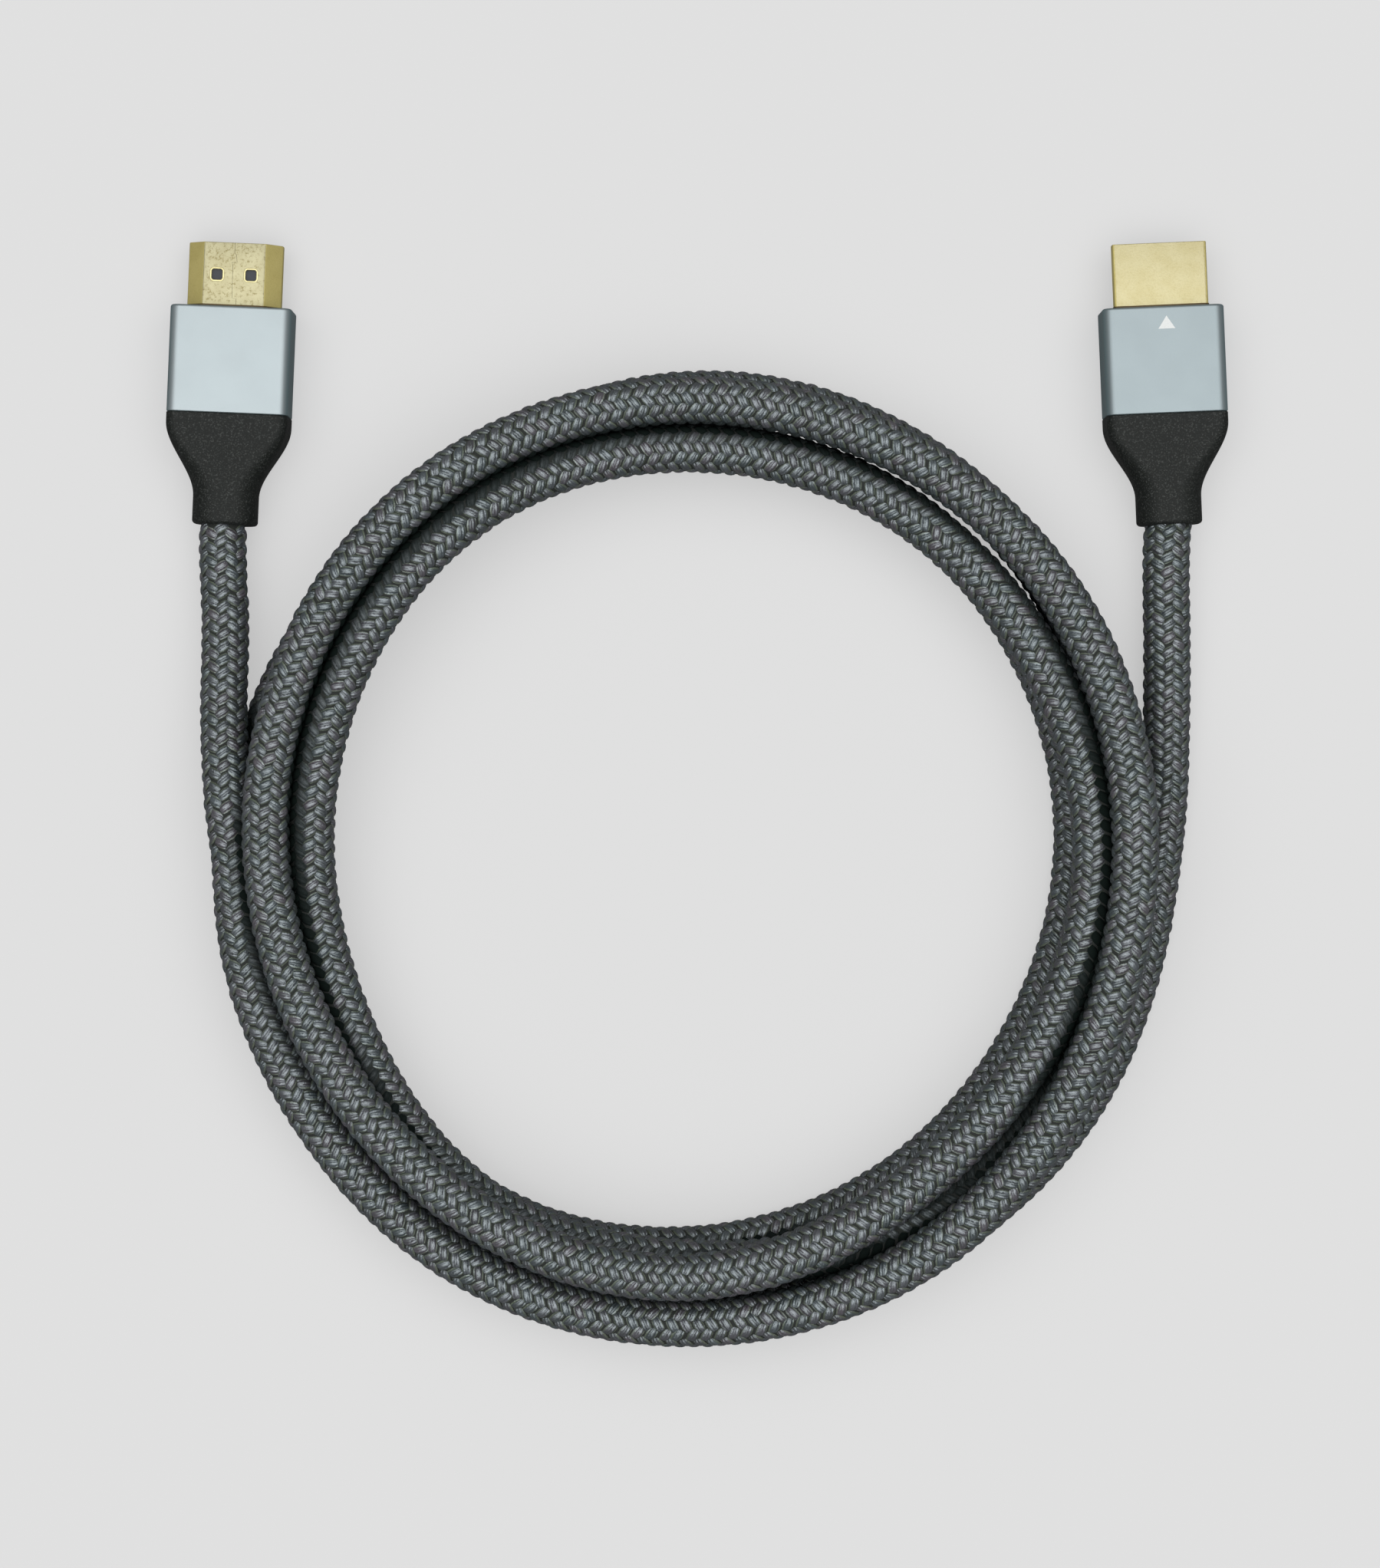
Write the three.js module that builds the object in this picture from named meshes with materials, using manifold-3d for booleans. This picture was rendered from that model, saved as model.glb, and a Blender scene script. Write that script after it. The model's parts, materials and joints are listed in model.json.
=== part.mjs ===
// Audio and video cable, lying coiled on a table: a plug with nineteen contacts on each end of a braided round cord.
// Millimetres, +Z up. The origin is on the table, midway between the two plugs, whose mouths point along +Y.
// The cord is wound into a coil that lies on the -Y side of them.

import * as THREE from "three";
import { mergeVertices } from "three/addons/utils/BufferGeometryUtils.js";
import Module from "manifold-3d";

const wasm = await Module();
wasm.setup();

// Cord and coil
const cordDiameter = 7.1;
const coilCentre = new THREE.Vector2(-0.45, -69);
const coilBoreRadius = 52.3;
const coilWidth = 20.5;
const coilHeight = 21;
const coilEdgeRadius = 3.4;

// Where the two plugs lie
const plugSpacing = 137.9;
const plugYaw = THREE.MathUtils.degToRad(2.4);

// Metal shell: a folded tube whose section has one wide side, and one narrow side between two bevels
const shellWidth = 13.9;
const shellHeight = 4.45;
const shellNarrowFlat = 8.9;
const shellSideHeight = 2.1;
const shellCornerRadius = 0.5;
const shellWall = 0.35;
const shellReach = 9.6;
const shellInHousing = 5;

// Latch windows in the shell's narrow side
const windowSize = 1.6;
const windowSpacing = 5;
const windowFromMouth = 4.75;
const windowCornerRadius = 0.35;

// Insulator in the shell, with the slot that takes the socket's tongue
const insulatorClearance = 0.08;
const insulatorRecess = 0.9;
const tongueSlotWidth = 10.2;
const tongueSlotHeight = 1.7;
const tongueSlotDepth = 7.4;
const tongueSlotRaise = 0.3;

// Contacts: one row on each wall of the slot, the rows half a pitch apart
const contactPitch = 1;
const contactsInWideRow = 10;
const contactsInNarrowRow = 9;
const contactWidth = 0.44;
const contactThickness = 0.2;
const contactHump = 0.28;
const contactSetback = 0.5;
const channelClearance = 0.06;

// Aluminium housing: a rounded sleeve with a closed front that the shell comes through
const housingWidth = 17.9;
const housingHeight = 10.4;
const housingLength = 15.7;
const housingEdgeRadius = 1.5;
const housingFrontBevel = 0.3;
const housingWall = 1.1;
const housingFrontWall = 1.2;

// Strain relief: moulded in one with the core that fills the housing
const reliefLength = 15.95;
const reliefShoulder = 1.2;
const reliefTaper = 10.6;
const reliefNeckWidth = 9.6;
const reliefNeckHeight = 9.3;
const reliefNeckRadius = 3.9;
const reliefEndRadius = 0.5;

// Fits
const fitGap = 0.25;
const faceGap = 0.3;

const plugLength = shellReach + housingLength + faceGap + reliefLength;
const plugMiddle = shellReach - plugLength / 2;

const colours = {
  gold: 0xd9c981,
  insulator: 0x23272b,
  aluminium: 0xb4c2c9,
  relief: 0x2b2d2c,
  braid: 0x565c60,
};

function material(name, colour, roughness, metalness) {
  return new THREE.MeshStandardMaterial({ name, color: colour, roughness, metalness });
}

// Moves every edge of a convex, anticlockwise outline inwards; a negative distance moves them outwards.
function inset(corners, distance) {
  const edges = corners.map((corner, i) => {
    const along = corners[(i + 1) % corners.length].clone().sub(corner).normalize();
    const inwards = new THREE.Vector2(-along.y, along.x);
    return { point: corner.clone().addScaledVector(inwards, distance), along };
  });
  return edges.map((edge, i) => {
    const before = edges[(i + edges.length - 1) % edges.length];
    const between = edge.point.clone().sub(before.point);
    const step = between.cross(edge.along) / before.along.cross(edge.along);
    return before.point.clone().addScaledVector(before.along, step);
  });
}

// Replaces each corner of a convex outline by an arc of the given radius.
function roundCorners(corners, radius, arcSteps) {
  return corners.flatMap((corner, i) => {
    const back = corners[(i + corners.length - 1) % corners.length].clone().sub(corner).normalize();
    const ahead = corners[(i + 1) % corners.length].clone().sub(corner).normalize();
    const halfAngle = Math.acos(back.dot(ahead)) / 2;
    const centre = back.clone().add(ahead).normalize().multiplyScalar(radius / Math.sin(halfAngle)).add(corner);
    const from = corner.clone().addScaledVector(back, radius / Math.tan(halfAngle)).sub(centre);
    const sweep = Math.PI - 2 * halfAngle;
    return Array.from({ length: arcSteps + 1 }, (_, step) =>
      from.clone().rotateAround(new THREE.Vector2(), (sweep * step) / arcSteps).add(centre)
    );
  });
}

// The shell's outline, wide side up, moved inwards by a distance.
function shellOutline(distance) {
  const wide = shellWidth / 2;
  const narrow = shellNarrowFlat / 2;
  const top = shellHeight / 2;
  const corners = [
    new THREE.Vector2(wide, top),
    new THREE.Vector2(-wide, top),
    new THREE.Vector2(-wide, top - shellSideHeight),
    new THREE.Vector2(-narrow, -top),
    new THREE.Vector2(narrow, -top),
    new THREE.Vector2(wide, top - shellSideHeight),
  ];
  return roundCorners(inset(corners, distance), Math.max(shellCornerRadius - distance, 0.05), 4);
}

function rectangle(width, height, radius, arcSteps) {
  const x = width / 2;
  const y = height / 2;
  const corners = [
    new THREE.Vector2(x, y),
    new THREE.Vector2(-x, y),
    new THREE.Vector2(-x, -y),
    new THREE.Vector2(x, -y),
  ];
  return roundCorners(corners, radius, arcSteps);
}

// An outline in X and Z, drawn out along -Y from the place that front gives.
function prism(outline, front, length, holes = []) {
  const shape = new THREE.Shape(outline);
  shape.holes = holes.map((hole) => new THREE.Path(hole));
  const geometry = new THREE.ExtrudeGeometry(shape, { depth: length, bevelEnabled: false });
  return geometry.rotateX(Math.PI / 2).translate(0, front, 0);
}

function box(width, length, height, x, y, z) {
  return new THREE.BoxGeometry(width, length, height).translate(x, y, z);
}

// A skin over outlines that have the same number of points, each at its own Y, closed by a flat end at each side.
function loft(rings) {
  const count = rings[0].outline.length;
  const positions = rings.flatMap(({ outline, y }) => outline.flatMap((point) => [point.x, y, point.y]));
  const indices = [];
  for (let ring = 0; ring < rings.length - 1; ring += 1) {
    for (let i = 0; i < count; i += 1) {
      const a = ring * count + i;
      const b = ring * count + ((i + 1) % count);
      indices.push(a, b, a + count, b, b + count, a + count);
    }
  }
  const caps = THREE.ShapeUtils.triangulateShape(rings[0].outline, []);
  const last = (rings.length - 1) * count;
  for (const [a, b, c] of caps) {
    indices.push(a, c, b, last + a, last + b, last + c);
  }
  const geometry = new THREE.BufferGeometry();
  geometry.setAttribute("position", new THREE.Float32BufferAttribute(positions, 3));
  geometry.setIndex(indices);
  return geometry;
}

function toSolid(geometry) {
  const bare = geometry.clone();
  bare.deleteAttribute("normal");
  bare.deleteAttribute("uv");
  const merged = mergeVertices(bare, 1e-5);
  return new wasm.Manifold(
    new wasm.Mesh({
      numProp: 3,
      vertProperties: new Float32Array(merged.attributes.position.array),
      triVerts: new Uint32Array(merged.index.array),
    })
  );
}

function toGeometry(solid) {
  const { vertProperties, triVerts } = solid.getMesh();
  const geometry = new THREE.BufferGeometry();
  geometry.setAttribute("position", new THREE.BufferAttribute(new Float32Array(vertProperties), 3));
  geometry.setIndex(new THREE.BufferAttribute(new Uint32Array(triVerts), 1));
  return geometry;
}

function cut(geometry, tools) {
  const solid = tools.reduce((left, tool) => left.subtract(toSolid(tool)), toSolid(geometry));
  return toGeometry(solid);
}

function join(first, second) {
  return toGeometry(toSolid(first).add(toSolid(second)));
}

function named(name, geometry, finish) {
  geometry.computeVertexNormals();
  const mesh = new THREE.Mesh(geometry, finish);
  mesh.name = name;
  return mesh;
}

function shell() {
  const tube = prism(shellOutline(0), shellReach, shellReach + shellInHousing, [shellOutline(shellWall)]);
  const windows = [-1, 1].map((side) => {
    const outline = rectangle(windowSize, windowSize, windowCornerRadius, 3);
    const punch = new THREE.ExtrudeGeometry(new THREE.Shape(outline), { depth: shellWall * 3, bevelEnabled: false });
    const x = (side * windowSpacing) / 2;
    return punch.translate(x, shellReach - windowFromMouth, -shellHeight / 2 - shellWall);
  });
  return cut(tube, windows);
}

// The places of the contacts: x, and the wall of the slot they lie on, 1 for the wide side and -1 for the narrow.
function contactPlaces() {
  const row = (count, wall) =>
    Array.from({ length: count }, (_, i) => ({ x: (i - (count - 1) / 2) * contactPitch, wall }));
  return [...row(contactsInWideRow, 1), ...row(contactsInNarrowRow, -1)];
}

function insulator() {
  const front = shellReach - insulatorRecess;
  const length = front + shellInHousing;
  const body = prism(shellOutline(shellWall + insulatorClearance), front, length);
  const slotMiddle = front - tongueSlotDepth / 2 + 0.5;
  const slot = box(tongueSlotWidth, tongueSlotDepth + 1, tongueSlotHeight, 0, slotMiddle, tongueSlotRaise);
  const channelDepth = contactThickness + channelClearance;
  const channels = contactPlaces().map(({ x, wall }) => {
    const z = tongueSlotRaise + (wall * (tongueSlotHeight + channelDepth)) / 2;
    return box(contactWidth + 2 * channelClearance, tongueSlotDepth + 1, channelDepth, x, slotMiddle, z);
  });
  return cut(body, [slot, ...channels]);
}

// A contact: a flat strip in its channel, with a hump near the mouth that presses on the tongue.
function contact({ x, wall }) {
  const front = shellReach - insulatorRecess - contactSetback;
  const back = shellReach - insulatorRecess - tongueSlotDepth + channelClearance;
  const seat = tongueSlotHeight / 2 + channelClearance / 2;
  const under = seat - contactThickness / 2;
  const humpFoot = front - 2.4;
  const humpTop = front - 1.2;
  const side = new THREE.Shape();
  side.moveTo(back, seat + contactThickness / 2);
  side.lineTo(front, seat + contactThickness / 2);
  side.lineTo(front, under);
  side.quadraticCurveTo(humpTop, under - 2 * contactHump, humpFoot, under);
  side.lineTo(back, under);
  side.closePath();
  const strip = new THREE.ExtrudeGeometry(side, { depth: contactWidth, bevelEnabled: false, curveSegments: 5 });
  strip.translate(0, 0, -contactWidth / 2);
  const turn = new THREE.Matrix4().makeBasis(
    new THREE.Vector3(0, 1, 0),
    new THREE.Vector3(0, 0, wall),
    new THREE.Vector3(wall, 0, 0)
  );
  return strip.applyMatrix4(turn).translate(x, 0, tongueSlotRaise);
}

function housing() {
  const outer = (shrink, y) => ({
    outline: rectangle(housingWidth - 2 * shrink, housingHeight - 2 * shrink, housingEdgeRadius - shrink, 5),
    y,
  });
  const body = loft([outer(housingFrontBevel, 0), outer(0, -housingFrontBevel), outer(0, -housingLength)]);
  const hollow = prism(coreOutline(housingWall), -housingFrontWall, housingLength);
  const mouth = prism(shellOutline(-fitGap), 1, housingFrontWall + 2);
  return cut(body, [hollow, mouth]);
}

// The outline inside the housing, moved inwards from the housing's own outline.
function coreOutline(distance) {
  const radius = Math.max(housingEdgeRadius - distance, 0.3);
  return rectangle(housingWidth - 2 * distance, housingHeight - 2 * distance, radius, 3);
}

function smoothStep(share) {
  const t = THREE.MathUtils.clamp(share, 0, 1);
  return t * t * (3 - 2 * t);
}

// The strain relief's outline at a distance behind the housing, drawn in by a small amount at its very end.
function reliefRing(distance, drawnIn) {
  const share = smoothStep((distance - reliefShoulder) / reliefTaper);
  const mix = (from, to) => THREE.MathUtils.lerp(from, to, share) - drawnIn;
  const width = mix(housingWidth, reliefNeckWidth) - drawnIn;
  const height = mix(housingHeight, reliefNeckHeight) - drawnIn;
  const outline = rectangle(width, height, mix(housingEdgeRadius, reliefNeckRadius), 5);
  return { outline, y: -housingLength - faceGap - distance };
}

function relief() {
  const steps = 14;
  const plainLength = reliefLength - reliefEndRadius;
  const rings = Array.from({ length: steps + 1 }, (_, i) => reliefRing((plainLength * i) / steps, 0));
  const end = [30, 60, 90].map((degrees) => {
    const angle = THREE.MathUtils.degToRad(degrees);
    return reliefRing(plainLength + reliefEndRadius * Math.sin(angle), reliefEndRadius * (1 - Math.cos(angle)));
  });
  const body = loft([...rings, ...end]);
  const coreFront = -shellInHousing - faceGap;
  const coreLength = housingLength + faceGap + coreFront + reliefShoulder;
  const core = prism(coreOutline(housingWall + fitGap), coreFront, coreLength);
  return join(body, core);
}

// Everything on one end of the cord, with the housing's front face at Y = 0 and the shell's wide side up.
function plug(side) {
  const group = new THREE.Group();
  const gold = material("gold plating", colours.gold, 0.35, 0.9);
  const aluminium = material("satin aluminium", colours.aluminium, 0.45, 0.85);
  group.add(named(`${side}_plug_shell`, shell(), gold));
  group.add(named(`${side}_plug_insulator`, insulator(), material("insulator", colours.insulator, 0.6, 0)));
  contactPlaces().forEach((place, i) => {
    const number = String(i + 1).padStart(2, "0");
    group.add(named(`${side}_plug_contact_${number}`, contact(place), gold.clone()));
  });
  group.add(named(`${side}_plug_housing`, housing(), aluminium));
  group.add(named(`${side}_plug_strain_relief`, relief(), material("moulded relief", colours.relief, 0.75, 0)));
  return group;
}

// A plug on the table, its middle at the given X; a plug that is turned over lies with its narrow side up.
function lyingPlug(side, x, yaw, turnedOver) {
  const inner = plug(side);
  inner.position.y = -plugMiddle;
  const roll = new THREE.Group();
  roll.rotation.y = turnedOver ? Math.PI : 0;
  roll.add(inner);
  const outer = new THREE.Group();
  outer.add(roll);
  outer.position.set(x, 0, housingHeight / 2);
  outer.rotation.z = yaw;
  outer.updateMatrixWorld(true);
  return outer;
}

// The cord from a plug's strain relief to the coil: straight out of the plug, then through the chosen points.
function tail(side, plugGroup, chosen) {
  const axisPoint = (behind) => plugGroup.localToWorld(new THREE.Vector3(0, -plugLength / 2 - behind, 0));
  const points = [axisPoint(faceGap), axisPoint(cordDiameter), ...chosen.map((p) => new THREE.Vector3(...p))];
  const path = new THREE.CatmullRomCurve3(points);
  const section = new THREE.Shape().absarc(0, 0, cordDiameter / 2, 0, Math.PI * 2);
  const geometry = new THREE.ExtrudeGeometry(section, { steps: 5, curveSegments: 10, extrudePath: path });
  return named(`cord_tail_${side}`, cut(geometry, [ring(faceGap)]), material("braid", colours.braid, 0.8, 0));
}

// The coil's outer shape, a ring that its turns fill, with all its surfaces moved outwards by a distance.
function ring(grown) {
  const middle = coilBoreRadius + coilWidth / 2;
  const section = rectangle(coilWidth + 2 * grown, coilHeight + 2 * grown, coilEdgeRadius + grown, 4);
  const profile = section.map((point) => new THREE.Vector2(middle + point.x, coilHeight / 2 + point.y));
  const turned = new THREE.LatheGeometry([...profile, profile[0]], 72);
  return turned.rotateX(Math.PI / 2).translate(coilCentre.x, coilCentre.y, 0);
}

function coil() {
  return named("cord_coil", toGeometry(toSolid(ring(0))), material("braid", colours.braid, 0.8, 0));
}

const leftPlug = lyingPlug("left", -plugSpacing / 2, -plugYaw, true);
const rightPlug = lyingPlug("right", plugSpacing / 2, plugYaw, false);

const leftTailPoints = [
  [-69.6, -34, 7.3],
  [-69.6, -46, 9.4],
];
const rightTailPoints = [
  [69.4, -34, 4.3],
  [69.2, -46, 3.8],
];

const cable = new THREE.Group();
cable.add(leftPlug, rightPlug, coil());
cable.add(tail("left", leftPlug, leftTailPoints), tail("right", rightPlug, rightTailPoints));

export default cable;
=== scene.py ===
"""Looks of a coiled audio and video cable: two plugs in aluminium housings on one braided cord.

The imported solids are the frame. This script lays the cord along its real route, braids it, dresses both
plugs and sets up the camera, the light and the pale floor. Lengths are in metres, but the plugs and their
outlines are worked out in millimetres. Angles are in radians unless a name ends in deg.
"""

import json
import logging
import math
from collections.abc import Sequence
from dataclasses import dataclass, field
from enum import Enum

import bpy
import numpy as np
from mathutils import Matrix
from mathutils.kdtree import KDTree

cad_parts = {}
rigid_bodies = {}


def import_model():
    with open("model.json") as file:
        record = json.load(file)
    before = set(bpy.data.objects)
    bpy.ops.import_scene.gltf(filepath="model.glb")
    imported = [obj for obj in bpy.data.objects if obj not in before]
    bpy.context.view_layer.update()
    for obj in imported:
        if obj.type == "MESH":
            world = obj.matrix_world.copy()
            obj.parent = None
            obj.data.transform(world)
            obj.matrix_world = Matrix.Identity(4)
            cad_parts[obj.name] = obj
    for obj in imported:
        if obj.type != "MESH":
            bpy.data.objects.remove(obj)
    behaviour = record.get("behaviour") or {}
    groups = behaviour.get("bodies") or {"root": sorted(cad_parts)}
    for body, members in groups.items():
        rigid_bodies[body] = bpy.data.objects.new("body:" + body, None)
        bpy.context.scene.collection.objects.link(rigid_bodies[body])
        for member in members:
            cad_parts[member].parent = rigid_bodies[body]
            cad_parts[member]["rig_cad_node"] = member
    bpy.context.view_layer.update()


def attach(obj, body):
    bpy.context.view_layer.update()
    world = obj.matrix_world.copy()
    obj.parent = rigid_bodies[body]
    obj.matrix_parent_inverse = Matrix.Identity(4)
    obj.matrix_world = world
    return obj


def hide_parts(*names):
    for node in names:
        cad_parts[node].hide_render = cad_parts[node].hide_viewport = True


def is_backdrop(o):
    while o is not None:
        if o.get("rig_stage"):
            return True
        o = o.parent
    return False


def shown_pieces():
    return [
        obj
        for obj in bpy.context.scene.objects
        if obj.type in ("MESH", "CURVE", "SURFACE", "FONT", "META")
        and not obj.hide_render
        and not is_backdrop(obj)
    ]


LOG = logging.getLogger("cable")
MM = 0.001
FULL_TURN = 360
# A ray and an edge whose cross product is under PARALLEL don't meet, and SLACK lets a ray hit an edge's end.
PARALLEL = 1e-12
SLACK = 1e-6

Colour = tuple[float, float, float]
Faces = list[tuple[int, ...]]
Shape = tuple[np.ndarray, Faces]
Ring = tuple[np.ndarray, float]

# Route of the cord from the right plug to the left plug, around the coil's centre: the turn in degrees,
# clockwise from the top, the radius in millimetres, and the height of the centreline in cord diameters.
ROUTE: tuple[tuple[float, float, float], ...] = (
    (54.4, 86.3, 0.73), (56.4, 84.0, 0.71), (63.1, 78.4, 0.62), (73.7, 72.9, 0.50),
    (77.4, 71.6, 0.50), (80.8, 70.7, 0.50), (84.8, 69.8, 0.50), (90.0, 68.9, 0.50),
    (120.0, 68.4, 0.50), (150.0, 68.1, 0.50), (180.0, 68.3, 0.50), (210.0, 68.2, 0.50),
    (240.0, 67.3, 0.50), (270.0, 66.6, 0.50), (300.0, 65.0, 0.50), (330.0, 61.9, 0.50),
    (360.0, 60.2, 0.50), (390.0, 59.5, 0.50), (420.0, 58.0, 0.50), (450.0, 56.7, 0.50),
    (480.0, 56.0, 0.50), (510.0, 57.2, 0.50), (540.0, 59.0, 0.50), (570.0, 60.6, 0.50),
    (600.0, 59.7, 0.50), (630.0, 59.4, 0.50), (660.0, 61.4, 1.40), (690.0, 64.5, 1.40),
    (720.0, 67.4, 0.50), (750.0, 67.1, 0.50), (780.0, 65.1, 0.50), (810.0, 62.4, 1.03),
    (840.0, 63.2, 1.25), (870.0, 63.0, 1.25), (900.0, 60.4, 1.46), (930.0, 60.0, 1.50),
    (960.0, 56.7, 1.44), (990.0, 56.1, 1.42), (1020.0, 57.4, 2.26), (1050.0, 59.2, 2.11),
    (1080.0, 59.1, 1.50), (1110.0, 58.8, 1.50), (1140.0, 58.2, 1.50), (1170.0, 58.7, 1.91),
    (1200.0, 57.8, 1.97), (1230.0, 58.6, 2.09), (1260.0, 61.7, 2.42), (1290.0, 61.6, 2.44),
    (1320.0, 61.2, 2.15), (1350.0, 62.4, 2.23), (1380.0, 64.1, 2.40), (1410.0, 65.6, 2.37),
    (1440.0, 66.0, 1.50), (1470.0, 65.9, 1.50), (1500.0, 65.3, 1.50), (1530.0, 64.1, 2.45),
    (1560.0, 65.0, 2.19), (1590.0, 67.8, 1.91), (1620.0, 69.1, 1.48), (1650.0, 69.2, 1.47),
    (1680.0, 67.9, 1.48), (1702.0, 67.5, 1.48), (1710.0, 67.5, 1.48), (1715.0, 68.6, 1.42),
    (1720.0, 69.9, 1.30), (1723.0, 70.9, 1.20), (1729.0, 73.2, 1.00), (1737.0, 77.7, 0.80),
    (1743.7, 83.7, 0.74), (1745.9, 85.8, 0.73),
)


class Side(Enum):
    """An end of the cord, by where its plug lies."""

    LEFT = "left"
    RIGHT = "right"


@dataclass(frozen=True)
class Field:
    """A value that varies over a surface: one output socket, with arithmetic on it."""

    graph: "Graph"
    socket: bpy.types.NodeSocket | None

    def _with(self, operation: str, *values: "Field | float") -> "Field":
        """This value and others through one Math node."""
        return self.graph.node("ShaderNodeMath", {"operation": operation}, dict(enumerate(values)))

    def __add__(self, other: "Field | float") -> "Field":
        """Their sum."""
        return self._with("ADD", self, other)

    __radd__ = __add__

    def __mul__(self, other: "Field | float") -> "Field":
        """Their product."""
        return self._with("MULTIPLY", self, other)

    __rmul__ = __mul__

    def __sub__(self, other: "Field | float") -> "Field":
        """This less the other."""
        return self._with("SUBTRACT", self, other)

    def __rsub__(self, other: "Field | float") -> "Field":
        """The other less this."""
        return self._with("SUBTRACT", other, self)

    def __abs__(self) -> "Field":
        """Its size without its sign."""
        return self._with("ABSOLUTE", self)

    def sine(self) -> "Field":
        """Its sine."""
        return self._with("SINE", self)

    def clamped(self) -> "Field":
        """This, kept from 0 to 1."""
        return self.graph.node("ShaderNodeClamp", {}, {0: self})


def opaque(colour: Colour | Field) -> tuple[float, ...] | Field:
    """The colour with an alpha of 1, where it is plain numbers."""
    return colour if isinstance(colour, Field) else (*colour, 1.0)


class Graph:
    """A material or a world under construction: its nodes and its shader."""

    def __init__(self, name: str, owner: bpy.types.World | None = None) -> None:
        """Starts with no nodes.

        Args:
            name: the material's name.
            owner: the world whose nodes these are, where it isn't a material.
        """
        self.owner = owner or bpy.data.materials.new(name)
        self.owner.use_nodes = True
        self.tree = self.owner.node_tree
        self.tree.nodes.clear()

    def node(
        self,
        kind: str,
        settings: dict[str, object] | None = None,
        inputs: dict[str | int, object] | None = None,
        output: str | int = 0,
    ) -> Field:
        """Adds any node.

        Args:
            kind: the node's type.
            settings: its own settings.
            inputs: values or fields for its sockets, by name or number.
            output: the output that is wanted.

        Returns:
            That output as a field.
        """
        made = self.tree.nodes.new(kind)
        for key, value in (settings or {}).items():
            setattr(made, key, value)
        for key, value in (inputs or {}).items():
            if isinstance(value, Field):
                self.tree.links.new(value.socket, made.inputs[key])
            else:
                made.inputs[key].default_value = value
        return Field(self, made.outputs[output] if made.outputs else None)

    def noise(self, scale: float, detail: float = 2.0, roughness: float = 0.5) -> Field:
        """Noise from 0 to 1, by the place on the object.

        Args:
            scale: how many cells there are in a metre.
            detail: the octaves.
            roughness: how strong the finer octaves are.

        Returns:
            The noise.
        """
        place = self.node("ShaderNodeTexCoord", {}, {}, "Object")
        inputs = {"Vector": place, "Scale": scale, "Detail": detail, "Roughness": roughness}
        return self.node("ShaderNodeTexNoise", {}, inputs, 0)

    def ramp(self, value: Field, low: float, high: float) -> Field:
        """A smooth step from 0 at low to 1 at high."""
        settings = {"interpolation_type": "SMOOTHSTEP"}
        return self.node("ShaderNodeMapRange", settings, {0: value, 1: low, 2: high, 3: 0.0, 4: 1.0})

    def mix(self, share: Field | float, first: Colour | Field, second: Colour | Field) -> Field:
        """Mixes two colours.

        Args:
            share: how much of the second there is.
            first: a colour or a field.
            second: a colour or a field.

        Returns:
            The mixed colour.
        """
        settings = {"data_type": "RGBA", "clamp_factor": True}
        return self.node("ShaderNodeMix", settings, {0: share, 6: opaque(first), 7: opaque(second)}, 2)

    def bump(self, height: Field, distance: float, strength: float) -> Field:
        """A bumped normal.

        Args:
            height: the height, from 0 to 1.
            distance: how far 1 stands out, in metres.
            strength: the share of it that is used.

        Returns:
            The normal.
        """
        return self.node("ShaderNodeBump", {}, {"Height": height, "Distance": distance, "Strength": strength})

    def part(self, vector: Field, axis: str) -> Field:
        """One part of a vector: X, Y or Z."""
        return self.node("ShaderNodeSeparateXYZ", {}, {0: vector}, axis)

    def shader(self, **inputs: object) -> Field:
        """Adds a shader for a surface.

        Args:
            **inputs: sockets of the shader by name, with an underscore for a space.

        Returns:
            The shader.
        """
        sockets = {key.replace("_", " "): value for key, value in inputs.items()}
        sockets["Base Color"] = opaque(sockets["Base Color"])
        return self.node("ShaderNodeBsdfPrincipled", {}, sockets)

    def ended(
        self, shader: Field, kind: str = "ShaderNodeOutputMaterial"
    ) -> bpy.types.Material | bpy.types.World:
        """The finished material or world, with this shader on its output."""
        self.node(kind, {}, {"Surface": shader}, "")
        return self.owner

    def surface(self, **inputs: object) -> bpy.types.Material:
        """The finished material, with a shader of these inputs."""
        return self.ended(self.shader(**inputs))


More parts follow.
